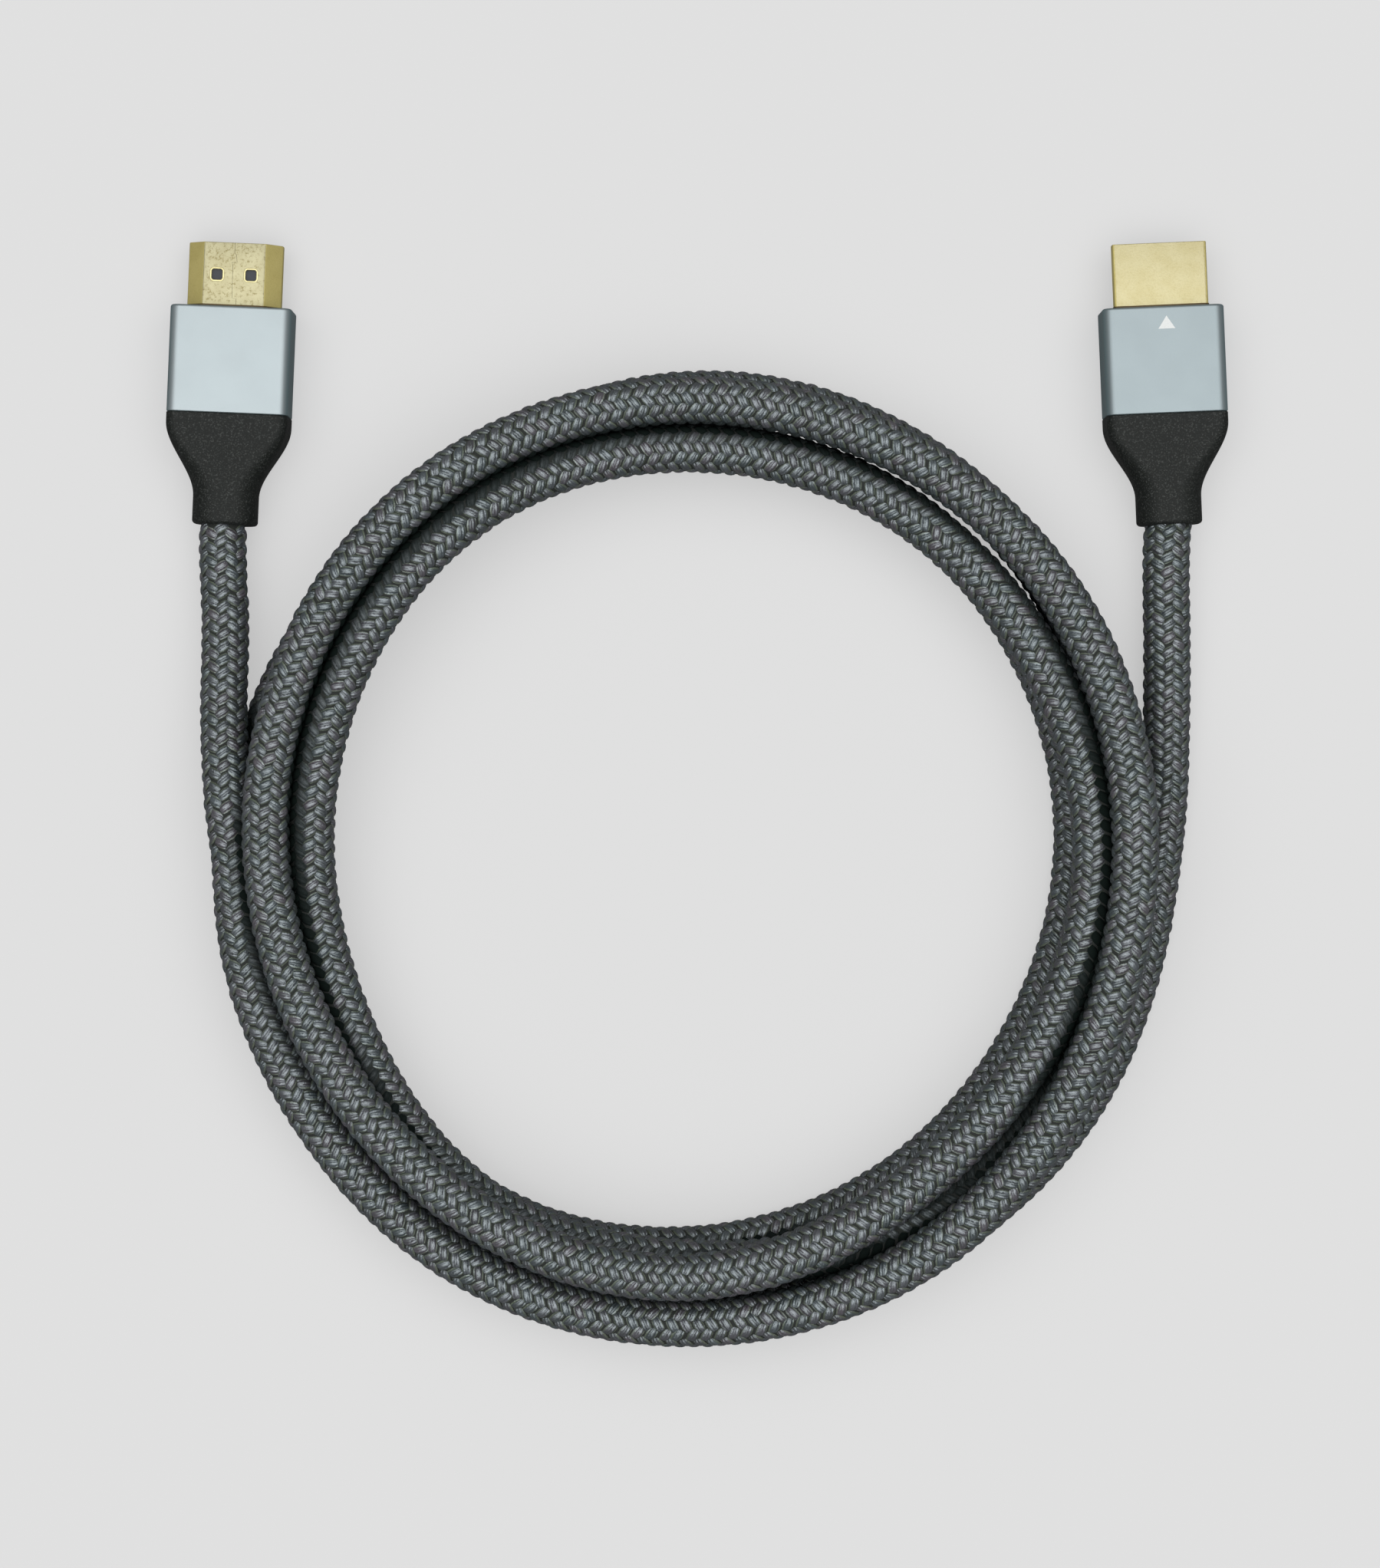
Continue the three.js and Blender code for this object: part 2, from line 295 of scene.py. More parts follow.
@dataclass(frozen=True)
class YarnFinish:
    """Grey multifilament yarn: cool and warm strands, fine filaments along each float, an olive tone with
    painted light near the float edges, and painted shade at the float edges and ends and in the nooks between
    turns.
    """

    cool: Colour = (0.058, 0.074, 0.082)
    warm: Colour = (0.08, 0.066, 0.08)
    dark: Colour = (0.006, 0.009, 0.008)
    olive_edge_light: Colour = (0.12, 0.145, 0.085)
    sheen: Colour = (0.86, 0.96, 1.0)
    filaments: float = 3.0
    grain: float = 2400
    roughness: float = 0.28
    bump: float = 0.14 * MM

    def material(self) -> bpy.types.Material:
        """The yarn's material, which reads each float's own coordinates."""
        g = Graph("grey braid yarn")
        yarn = g.node("ShaderNodeAttribute", {"attribute_name": "yarn"}, {}, "Vector")
        along, across, chance = (g.part(yarn, axis) for axis in "XYZ")
        # Painted shade: the nook value darkens the yarn where another turn or the floor lies close.
        nook = g.node("ShaderNodeAttribute", {"attribute_name": "nook"}, {}, "Fac")
        grain = g.noise(self.grain, 3.0, 0.6)
        lines = (across * (self.filaments * math.pi) + grain * 4.0 + chance * 6.0).sine() * 0.5 + 0.5
        dull = (chance * 37.0).sine() * 0.25 + 0.25
        tone = g.mix(dull, g.mix(chance, self.cool, self.warm), self.dark)
        # An olive tone with painted light on the band just inside each float's edges.
        tone = g.mix(g.ramp(abs(across), 0.6, 0.82) * 0.7, tone, self.olive_edge_light)
        # Painted shade: the floats darken towards their edges and their ends, where they dip under the
        # crossing yarns.
        flank = g.ramp(abs(across), 0.82, 1.0) * 0.6
        tip = g.ramp(abs(along), 0.65, 1.0) * 0.5
        specks = g.ramp(grain, 0.5, 0.8) * 0.25
        # shade is the painted shade of edges, ends and nooks, together with the darker lines between
        # filaments and the grain specks.
        shade = (flank + tip + (1 - lines) * 0.4 + specks + nook * 1.1).clamped()
        lit = g.shader(
            Base_Color=g.mix(shade, tone, self.dark),
            Roughness=self.roughness + shade * 0.45,
            Normal=g.bump(lines * 0.6 + grain * 0.4, self.bump, 0.85),
            Specular_IOR_Level=1.0,
            IOR=1.75,
            Specular_Tint=opaque(self.sheen),
        )
        # Painted shade: in the nooks the yarn becomes a dark matt surface without its sheen.
        painted_shade = g.shader(Base_Color=self.dark, Roughness=0.95, Specular_IOR_Level=0.0)
        return g.ended(g.node("ShaderNodeMixShader", {}, {0: g.ramp(nook, 0.1, 0.9), 1: lit, 2: painted_shade}))


@dataclass(frozen=True)
class CoreFinish:
    """The dark ground under the braid."""

    colour: Colour = (0.007, 0.009, 0.008)
    speck: Colour = (0.015, 0.018, 0.015)
    grain: float = 1900

    def material(self) -> bpy.types.Material:
        """The ground's material."""
        g = Graph("braid ground")
        return g.surface(Base_Color=g.mix(g.noise(self.grain), self.colour, self.speck), Roughness=0.9)


@dataclass(frozen=True)
class GoldFinish:
    """Pale gold plating over rolled sheet, with a fine grain and darker specks where it is worn."""

    name: str = "gold plating"
    pale: Colour = (0.43, 0.39, 0.23)
    deep: Colour = (0.35, 0.3, 0.135)
    mottle: float = 0.32
    roughness: float = 0.36
    grain: float = 3600
    cloud: float = 420
    bump: float = 0.04 * MM

    def material(self) -> bpy.types.Material:
        """The plating's material."""
        g = Graph(self.name)
        grain = g.noise(self.grain, 4.0, 0.75)
        worn = g.ramp(grain, 0.5, 0.68) * self.mottle + g.ramp(g.noise(self.cloud), 0.3, 0.75) * 0.3
        return g.surface(
            Base_Color=g.mix(worn, self.pale, self.deep),
            Metallic=0.8,
            Roughness=self.roughness + grain * 0.14,
            Normal=g.bump(grain, self.bump, 0.6),
        )


@dataclass(frozen=True)
class AluminiumFinish:
    """Blasted and anodised aluminium with a cool tint, and a painted reflection that makes its upright sides
    darker and more teal.
    """

    colour: Colour = (0.326, 0.37, 0.384)
    # Painted reflection: the darker teal that the upright sides show where they face the dim horizon.
    sides: Colour = (0.215, 0.3, 0.32)
    grain: float = 7000
    cloud: float = 160
    bump: float = 0.02 * MM

    def material(self) -> bpy.types.Material:
        """The housing's material."""
        g = Graph("satin aluminium")
        grain = g.noise(self.grain, 2.0, 0.6)
        darker = tuple(0.9 * c for c in self.colour)
        face = g.mix(g.ramp(g.noise(self.cloud), 0.3, 0.7) * 0.4, self.colour, darker)
        # Painted reflection: the colour turns to the sides' colour as a face stands upright.
        level = abs(g.part(g.node("ShaderNodeTexCoord", {}, {}, "Normal"), "Z"))
        return g.surface(
            Base_Color=g.mix(g.ramp(level, 0.35, 0.95), self.sides, face),
            Metallic=0.7,
            Roughness=0.4 + grain * 0.12,
            Normal=g.bump(grain, self.bump, 0.45),
        )


@dataclass(frozen=True)
class ReliefFinish:
    """Black moulded elastomer with a fine sparkle."""

    colour: Colour = (0.008, 0.0095, 0.0085)
    sparkle: Colour = (0.052, 0.056, 0.053)
    grain: float = 4200
    bump: float = 0.08 * MM

    def material(self) -> bpy.types.Material:
        """The strain relief's material."""
        g = Graph("black moulded relief")
        grain = g.noise(self.grain, 3.0, 0.65)
        return g.surface(
            Base_Color=g.mix(g.ramp(grain, 0.5, 0.72), self.colour, self.sparkle),
            Roughness=0.5 + grain * 0.15,
            Normal=g.bump(grain, self.bump, 0.7),
            Specular_IOR_Level=0.18,
        )


@dataclass(frozen=True)
class InsulatorFinish:
    """Dark moulded plastic inside the shell."""

    name: str = "dark insulator"
    colour: Colour = (0.012, 0.015, 0.022)
    grain: float = 3000
    bump: float = 0.02 * MM

    def material(self) -> bpy.types.Material:
        """The insulator's material."""
        g = Graph(self.name)
        grain = g.noise(self.grain)
        rough = 0.45 + grain * 0.12
        return g.surface(Base_Color=self.colour, Roughness=rough, Normal=g.bump(grain, self.bump, 0.4))


@dataclass(frozen=True)
class PrintFinish:
    """Off-white pad print."""

    colour: Colour = (0.64, 0.66, 0.65)
    grain: float = 5000

    def material(self) -> bpy.types.Material:
        """The print's material."""
        g = Graph("pad print")
        thin = tuple(0.93 * c for c in self.colour)
        patchy = g.ramp(g.noise(self.grain), 0.4, 0.7)
        return g.surface(Base_Color=g.mix(patchy, self.colour, thin), Roughness=0.5)


def mesh_object(
    name: str,
    points: np.ndarray,
    faces: np.ndarray | Faces,
    material: bpy.types.Material,
    smooth: bool = True,
) -> bpy.types.Object:
    """Makes an object from points and faces.

    Args:
        name: the object's name.
        points: its points, in metres.
        faces: the faces, as indices into the points.
        material: its material.
        smooth: whether its faces are shaded smooth.

    Returns:
        The object, linked into the scene.
    """
    mesh = bpy.data.meshes.new(name)
    if isinstance(faces, np.ndarray):
        count, corners = faces.shape
        mesh.vertices.add(len(points))
        mesh.vertices.foreach_set("co", np.ascontiguousarray(points, dtype=np.float32).ravel())
        mesh.loops.add(count * corners)
        mesh.loops.foreach_set("vertex_index", faces.astype(np.int32).ravel())
        mesh.polygons.add(count)
        mesh.polygons.foreach_set("loop_start", np.arange(0, count * corners, corners, dtype=np.int32))
        mesh.update(calc_edges=True)
    else:
        mesh.from_pydata([tuple(map(float, p)) for p in points], [], [tuple(face) for face in faces])
    mesh.validate()
    mesh.polygons.foreach_set("use_smooth", np.full(len(mesh.polygons), smooth))
    mesh.materials.append(material)
    obj = bpy.data.objects.new(name, mesh)
    bpy.context.scene.collection.objects.link(obj)
    return obj


def bands(count: int, rings: int, closed: bool = False) -> Faces:
    """The faces between rings of points.

    Args:
        count: the points in a ring.
        rings: the rings.
        closed: whether the last ring joins the first.

    Returns:
        The faces, ring by ring.
    """
    faces: Faces = []
    for ring in range(rings if closed else rings - 1):
        here, there = ring * count, (ring + 1) % rings * count
        for i in range(count):
            after = (i + 1) % count
            faces.append((here + i, here + after, there + after, there + i))
    return faces


def lids(count: int, rings: int) -> Faces:
    """The flat faces over the first and the last of some rings of points."""
    last = (rings - 1) * count
    return [tuple(range(count - 1, -1, -1)), tuple(range(last, last + count))]


def through_points(knots: np.ndarray, values: np.ndarray, at: np.ndarray) -> np.ndarray:
    """A natural cubic curve through values at knots.

    Args:
        knots: the places of the values, in rising order.
        values: the values.
        at: the places that are asked for.

    Returns:
        The curve's values there.
    """
    steps = np.diff(knots)
    slopes = np.diff(values) / steps
    system = np.eye(len(knots))
    wanted = np.zeros(len(knots))
    for i in range(1, len(knots) - 1):
        system[i, i - 1 : i + 2] = (steps[i - 1], 2 * (steps[i - 1] + steps[i]), steps[i])
        wanted[i] = 6 * (slopes[i] - slopes[i - 1])
    bend = np.linalg.solve(system, wanted)
    cell = np.clip(np.searchsorted(knots, at) - 1, 0, len(steps) - 1)
    h = steps[cell]
    left = (knots[cell + 1] - at) / h
    right = 1 - left
    curved = ((left**3 - left) * bend[cell] + (right**3 - right) * bend[cell + 1]) * h**2 / 6
    return left * values[cell] + right * values[cell + 1] + curved


@dataclass(frozen=True)
class Floats:
    """The floats of the braid, with a value for each: its place, its lean, its own colour and its height."""

    along: np.ndarray
    turn: np.ndarray
    lean: np.ndarray
    slant: np.ndarray
    chance: np.ndarray
    proud: np.ndarray


@dataclass
class Cord:
    """The round cord: a dark core along its route, covered by the floats of a braid of twelve columns."""

    diameter: float = 7.1 * MM
    core_radius: float = 3.2 * MM
    centre: tuple[float, float] = (-0.45 * MM, -69 * MM)
    core_sides: int = 24
    core_step: float = 1.7 * MM
    columns: int = 12
    pitch: float = 1.98 * MM
    float_length: float = 2.6 * MM
    float_width: float = 1.66 * MM
    float_grid: tuple[int, int] = (7, 6)
    sunk: float = 0.08 * MM
    inset: float = 1.4 * MM
    slant: float = math.radians(61.5)
    uneven_place: float = 0.03
    uneven_turn: float = 0.012
    uneven_slant: float = 0.035
    uneven_height: float = 0.06
    seed: int = 7
    pieces: int = 6
    # How far the painted shade of the nooks reaches from another turn or the floor.
    nook: float = 2.5 * MM
    nook_lag: float = 12.0
    sink: float = 0.002
    sink_rounds: int = 900
    rest_rounds: int = 60
    line: np.ndarray = field(default_factory=lambda: np.zeros((0, 3)), init=False)
    reach: np.ndarray = field(default_factory=lambda: np.zeros(0), init=False)
    frames: tuple[np.ndarray, ...] = field(default=(), init=False)
    tube: bpy.types.Object | None = field(default=None, init=False)
    path: np.ndarray = field(default_factory=lambda: np.zeros((0, 3)), init=False)
    cover: list[bpy.types.Object] = field(default_factory=list, init=False)

    def __post_init__(self) -> None:
        """Works out the centreline and its frames."""
        self.line = self._settled()
        self.reach = np.concatenate(([0.0], np.cumsum(np.linalg.norm(np.diff(self.line, axis=0), axis=1))))
        ahead = np.gradient(self.line, axis=0)
        ahead /= np.linalg.norm(ahead, axis=1, keepdims=True)
        up = np.array([0.0, 0.0, 1.0]) - ahead * ahead[:, 2:3]
        up /= np.linalg.norm(up, axis=1, keepdims=True)
        self.frames = (np.cross(ahead, up), up)

    @property
    def length(self) -> float:
        """The centreline's length, in metres."""
        return float(self.reach[-1])

    def _settled(self) -> np.ndarray:
        """Lays the turns on the floor and on each other.

        The turns start at their chosen heights and sink, stiffly, until they rest on the turns under them.

        Returns:
            The centreline's points, one for each degree.
        """
        chosen = np.array(ROUTE)
        turn = np.arange(chosen[0, 0], chosen[-1, 0], 1.0)
        radius = through_points(chosen[:, 0], chosen[:, 1] * MM, turn)
        height = np.interp(turn, chosen[:, 0], chosen[:, 2] * self.diameter)
        ends = height[[0, -1]].copy()
        bell = np.exp(-0.5 * (np.arange(-8, 9) / 4.0) ** 2)
        for _ in range(self.sink_rounds):
            height = self._relaxed(height - self.sink * self.diameter, radius, bell / bell.sum(), ends)
        for _ in range(self.rest_rounds):
            height = self._relaxed(height, radius, np.array([0.1, 0.8, 0.1]), ends)
        angle = np.radians(turn)
        x = self.centre[0] + radius * np.sin(angle)
        y = self.centre[1] + radius * np.cos(angle)
        return np.stack([x, y, height], axis=1)

    def _relaxed(
        self, height: np.ndarray, radius: np.ndarray, stiffness: np.ndarray, ends: np.ndarray
    ) -> np.ndarray:
        """Lets the turns push each other apart and the cord's stiffness even them out, once.

        Args:
            height: the centreline's heights, one for each degree.
            radius: its radii.
            stiffness: the weights of a height's neighbours in its new value.
            ends: the heights at both ends, which stay.

        Returns:
            The new heights.
        """
        height = height.copy()
        for lag in range(FULL_TURN, len(height), FULL_TURN):
            lower, upper = slice(0, len(height) - lag), slice(lag, len(height))
            wide = radius[upper] - radius[lower]
            tall = height[upper] - height[lower]
            needed = np.sqrt(np.maximum(self.diameter**2 - wide**2, 0.0))
            lift = np.maximum(0.0, needed - np.abs(tall)) * np.where(tall < 0, -0.5, 0.5)
            height[upper] += lift
            height[lower] -= lift
        height = np.maximum(height, self.diameter / 2)
        reach = len(stiffness) // 2
        before = 2 * height[0] - height[reach:0:-1]
        after = 2 * height[-1] - height[-2 : -reach - 2 : -1]
        height = np.convolve(np.concatenate((before, height, after)), stiffness, "valid")
        height = np.maximum(height, self.diameter / 2)
        height[[0, -1]] = ends
        return height

    def _at(self, along: np.ndarray) -> tuple[np.ndarray, ...]:
        """The centreline and its two side directions at distances along it.

        Args:
            along: the distances, in metres.

        Returns:
            The points, the sideways directions and the upward directions.
        """
        return tuple(
            np.stack([np.interp(along, self.reach, part[:, i]) for i in range(3)], axis=-1)
            for part in (self.line, *self.frames)
        )

    def core(self) -> tuple[bpy.types.Object, np.ndarray]:
        """Builds the dark core.

        Returns:
            The tube, and the centres of its rings.
        """
        count = int(self.length / self.core_step)
        centre, side, up = self._at(np.linspace(0, self.length, count))
        around = np.linspace(0, 2 * math.pi, self.core_sides, endpoint=False)
        ring = side[:, None] * np.cos(around)[None, :, None] + up[:, None] * np.sin(around)[None, :, None]
        points = (centre[:, None] + self.core_radius * ring).reshape(-1, 3)
        faces = bands(self.core_sides, count) + lids(self.core_sides, count)
        return mesh_object("cord_core", points, faces, CoreFinish().material()), centre

    def _nooks(self, places: np.ndarray, along: np.ndarray) -> np.ndarray:
        """How deep places on the cord lie in the nooks between its turns, where the yarn's material paints
        shade.

        Args:
            places: the places, in metres.
            along: their distances along the cord.

        Returns:
            0 in the open and 1 where another turn or the floor touches.
        """
        tree = KDTree(len(self.line))
        for i, point in enumerate(self.line):
            tree.insert(point, i)
        tree.balance()
        gap = 2 * places[:, 2]
        for i, place in enumerate(places):
            for _, other, distance in tree.find_range(place, self.diameter / 2 + self.nook):
                if abs(self.reach[other] - along[i]) > self.nook_lag * self.diameter:
                    gap[i] = min(gap[i], distance - self.diameter / 2)
        share = np.clip(1 - gap / self.nook, 0, 1)
        return share * share * (3 - 2 * share)

    def _floats(self) -> Floats:
        """Lays out the floats, in columns that lean to either side in turn and lie half a row apart."""
        rows = round((self.length - 2 * self.inset) / self.pitch)
        spacing = (self.length - 2 * self.inset) / rows
        row, column = np.meshgrid(np.arange(rows), np.arange(self.columns), indexing="ij")
        row, column = row.ravel(), column.ravel()
        rng = np.random.default_rng(self.seed)
        shift = rng.normal(0, self.uneven_place, row.size)
        along = self.inset + (row + 0.25 + 0.5 * (column % 2) + shift) * spacing
        turn = column * 2 * math.pi / self.columns + rng.normal(0, self.uneven_turn, row.size)
        lean = np.where(column % 2 == 0, 1.0, -1.0)
        slant = self.slant + rng.normal(0, self.uneven_slant, row.size)
        chance = rng.random(row.size)
        proud = rng.normal(1.0, self.uneven_height, row.size)
        return Floats(along, turn, lean, slant, chance, proud)

    def _domes(self, floats: Floats, p: np.ndarray, q: np.ndarray) -> np.ndarray:
        """The floats as pointed domes, slanted across the core.

        Args:
            floats: the floats.
            p: places along a float, from -1 to 1.
            q: places across a float, from -1 to 1.

        Returns:
            A point for each float and place.
        """
        dome = np.clip(1 - np.abs(p) ** 2.4, 0, 1) ** 0.7 * np.clip(1 - q**2, 0, 1) ** 0.5
        far = p[None] * self.float_length / 2
        wide = (q * (1 - 0.3 * p**2))[None] * self.float_width / 2
        cos, sin = np.cos(floats.slant)[:, None], np.sin(floats.slant)[:, None]
        across = (far * sin + wide * cos) * floats.lean[:, None]
        outer, low = self.diameter / 2, self.core_radius - self.sunk
        lift = low + (outer - low) * dome[None] * floats.proud[:, None]
        centre, side, up = self._at(floats.along[:, None] + far * cos - wide * sin)
        turn = floats.turn[:, None] + across / outer
        out = side * np.cos(turn)[..., None] + up * np.sin(turn)[..., None]
        return centre + out * lift[..., None]

    def braid(self) -> list[bpy.types.Object]:
        """Builds the floats of the braid, in a few pieces that follow each other.

        Returns:
            The pieces.
        """
        floats = self._floats()
        ticks = (np.linspace(-1, 1, count) for count in self.float_grid)
        p, q = (grid.ravel() for grid in np.meshgrid(*ticks, indexing="ij"))
        points = self._domes(floats, p, q)
        nook = self._nooks(points[:, p.size // 2], floats.along)
        grid = np.arange(p.size).reshape(self.float_grid)
        quads = np.stack([grid[:-1, :-1], grid[1:, :-1], grid[1:, 1:], grid[:-1, 1:]], axis=-1).reshape(-1, 4)
        material = YarnFinish().material()
        made = []
        for number, chosen in enumerate(np.array_split(np.arange(nook.size), self.pieces), 1):
            faces = quads[None] + (np.arange(len(chosen)) * p.size)[:, None, None]
            flipped = floats.lean[chosen] > 0
            faces[flipped] = faces[flipped][..., ::-1]
            name = f"cord_braid_{number}"
            obj = mesh_object(name, points[chosen].reshape(-1, 3), faces.reshape(-1, 4), material)
            yarn = np.empty((len(chosen), p.size, 3), dtype=np.float32)
            yarn[..., 0], yarn[..., 1], yarn[..., 2] = p, q, floats.chance[chosen][:, None]
            obj.data.attributes.new("yarn", "FLOAT_VECTOR", "POINT").data.foreach_set("vector", yarn.ravel())
            # The nook value carries the painted shade to the yarn's material.
            dark = np.repeat(nook[chosen], p.size).astype(np.float32)
            obj.data.attributes.new("nook", "FLOAT", "POINT").data.foreach_set("value", dark)
            made.append(obj)
        return made

    def build(self) -> None:
        """Builds the cord's core and braid."""
        self.tube, self.path = self.core()
        self.cover = self.braid()
        for piece in (self.tube, *self.cover):
            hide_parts("cord_coil", "cord_tail_left", "cord_tail_right")
            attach(piece, "root")
            LOG.info("%s: %d faces", piece.name, len(piece.data.polygons))

    def declare(self) -> None:
        LOG.info("cord: %.3f m", self.length)


@dataclass
class Studio:
    """The camera straight above, a soft bright dome over a dimmer horizon, and a pale floor."""

    camera_at: tuple[float, float, float] = (-1.05 * MM, -59.05 * MM, 750 * MM)
    lens: float = 115.66
    sensor: float = 36.0
    sight: tuple[float, float] = (0.01, 20.0)
    floor_half: float = 4.0
    floor_tone: float = 0.575
    floor_shown: float = 0.768
    floor_glow: float = 0.6
    floor_bounce: float = 0.15
    dome_from: float = 0.55
    dome_to: float = 0.92
    dome_light: float = 2.76
    horizon_light: float = 0.18
    light_ahead: float = 0.75

    def camera(self) -> None:
        """Places the camera."""
        data = bpy.data.cameras.new("camera")
        data.lens = self.lens
        data.sensor_width = self.sensor
        data.clip_start, data.clip_end = self.sight
        camera = bpy.data.objects.new("camera", data)
        camera.location = self.camera_at
        bpy.context.scene.collection.objects.link(camera)
        bpy.context.scene.camera = camera

    def floor(self) -> None:
        """Lays the floor, which shows the camera an even tone and bounces less light than it shows."""
        g = Graph("pale floor")
        seen = g.node("ShaderNodeLightPath", {}, {}, "Is Camera Ray")
        lit = self.floor_tone * (1 - self.floor_glow)
        material = g.surface(
            Base_Color=g.mix(seen, (self.floor_bounce,) * 3, (lit,) * 3),
            Roughness=0.9,
            Specular_IOR_Level=0.1,
            Emission_Color=g.mix(seen, (0.0,) * 3, (self.floor_shown * self.floor_glow,) * 3),
            Emission_Strength=1.0,
        )
        far = self.floor_half
        corners = np.array([(-far, -far, 0), (far, -far, 0), (far, far, 0), (-far, far, 0)])
        mesh_object("floor", corners, [(0, 1, 2, 3)], material, smooth=False)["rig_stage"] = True

    def world(self) -> None:
        """Lights the scene with the dome, which is a little dimmer ahead and behind than at the sides."""
        g = Graph("studio", bpy.data.worlds.new("studio"))
        direction = g.node("ShaderNodeTexCoord", {}, {}, "Generated")
        dome = g.ramp(g.part(direction, "Z"), self.dome_from, self.dome_to)
        light = dome * (self.dome_light - self.horizon_light) + self.horizon_light
        sideways = 1 - g.ramp(abs(g.part(direction, "Y")), 0.1, 0.7) * (1 - self.light_ahead)
        white = {"Color": (1.0, 1.0, 1.0, 1.0), "Strength": light * sideways}
        g.ended(g.node("ShaderNodeBackground", {}, white), "ShaderNodeOutputWorld")
        bpy.context.scene.world = g.owner

    def build(self) -> None:
        """Sets up the whole studio."""
        self.camera()
        self.floor()
        self.world()
        bpy.context.scene.view_settings.view_transform = "Standard"


def inset(corners: Sequence[Sequence[float]], distance: float) -> list[tuple[float, float]]:
    """Moves every edge of a convex, anticlockwise outline inwards.

    Args:
        corners: the outline's corners.
        distance: how far each edge moves; a negative distance moves it outwards.

    Returns:
        The new corners.
    """
    points = np.array(corners, dtype=float)
    along = np.roll(points, -1, axis=0) - points
    along /= np.linalg.norm(along, axis=1, keepdims=True)
    moved = points + distance * np.stack([-along[:, 1], along[:, 0]], axis=1)
    made = []
    for i in range(len(points)):
        before = i - 1
        gap = moved[i] - moved[before]
        crossed = along[before][0] * along[i][1] - along[before][1] * along[i][0]
        step = (gap[0] * along[i][1] - gap[1] * along[i][0]) / crossed
        made.append(tuple(moved[before] + step * along[before]))
    return made


def rounded(corners: Sequence[Sequence[float]], radius: float, steps: int = 10) -> np.ndarray:
    """Replaces each corner of a convex outline by an arc.

    Args:
        corners: the outline's corners, anticlockwise.
        radius: the arc's radius.
        steps: the steps of each arc.

    Returns:
        The outline's points.
    """
    points = np.array(corners, dtype=float)
    made = []
    for i, corner in enumerate(points):
        back = points[i - 1] - corner
        ahead = points[(i + 1) % len(points)] - corner
        back /= np.linalg.norm(back)
        ahead /= np.linalg.norm(ahead)
        half = math.acos(float(back @ ahead)) / 2
        middle = back + ahead
        centre = corner + middle / np.linalg.norm(middle) * radius / math.sin(half)
        arm = corner + back * radius / math.tan(half) - centre
        for step in range(steps + 1):
            angle = (math.pi - 2 * half) * step / steps
            cos, sin = math.cos(angle), math.sin(angle)
            made.append(centre + (arm[0] * cos - arm[1] * sin, arm[0] * sin + arm[1] * cos))
    return np.array(made)


def rectangle(width: float, height: float, radius: float, steps: int = 10) -> np.ndarray:
    """A rounded rectangle around the origin, anticlockwise from its upper right corner."""
    x, y = width / 2, height / 2
    return rounded([(x, y), (-x, y), (-x, -y), (x, -y)], radius, steps)


def seen_from_middle(outline: np.ndarray, angles: np.ndarray) -> np.ndarray:
    """The points where rays from the origin leave an outline.

    Args:
        outline: an outline around the origin.
        angles: the rays' angles, in radians.

    Returns:
        A point for each ray.
    """
    step = np.roll(outline, -1, axis=0) - outline
    made = []
    for angle in angles:
        ray = np.array([math.cos(angle), math.sin(angle)])
        crossed = ray[0] * step[:, 1] - ray[1] * step[:, 0]
        safe = np.where(np.abs(crossed) < PARALLEL, PARALLEL, crossed)
        far = (outline[:, 0] * step[:, 1] - outline[:, 1] * step[:, 0]) / safe
        share = (outline[:, 0] * ray[1] - outline[:, 1] * ray[0]) / safe
        hits = far[(far > 0) & (share > -SLACK) & (share < 1 + SLACK) & (np.abs(crossed) > PARALLEL)]
        made.append(ray * hits.max())
    return np.array(made)


def skin(rings: Sequence[Ring], closed: bool = True) -> Shape:
    """A skin over outlines in X and Z, each at its own Y.

    Args:
        rings: outlines with equal numbers of points, and their places.
        closed: whether the last outline joins the first; if not, flat ends close the skin.

    Returns:
        The points and the faces.
    """
    count = len(rings[0][0])
    points = np.concatenate([np.stack([o[:, 0], np.full(count, y), o[:, 1]], axis=1) for o, y in rings])
    faces = bands(count, len(rings), closed)
    return points, faces if closed else faces + lids(count, len(rings))


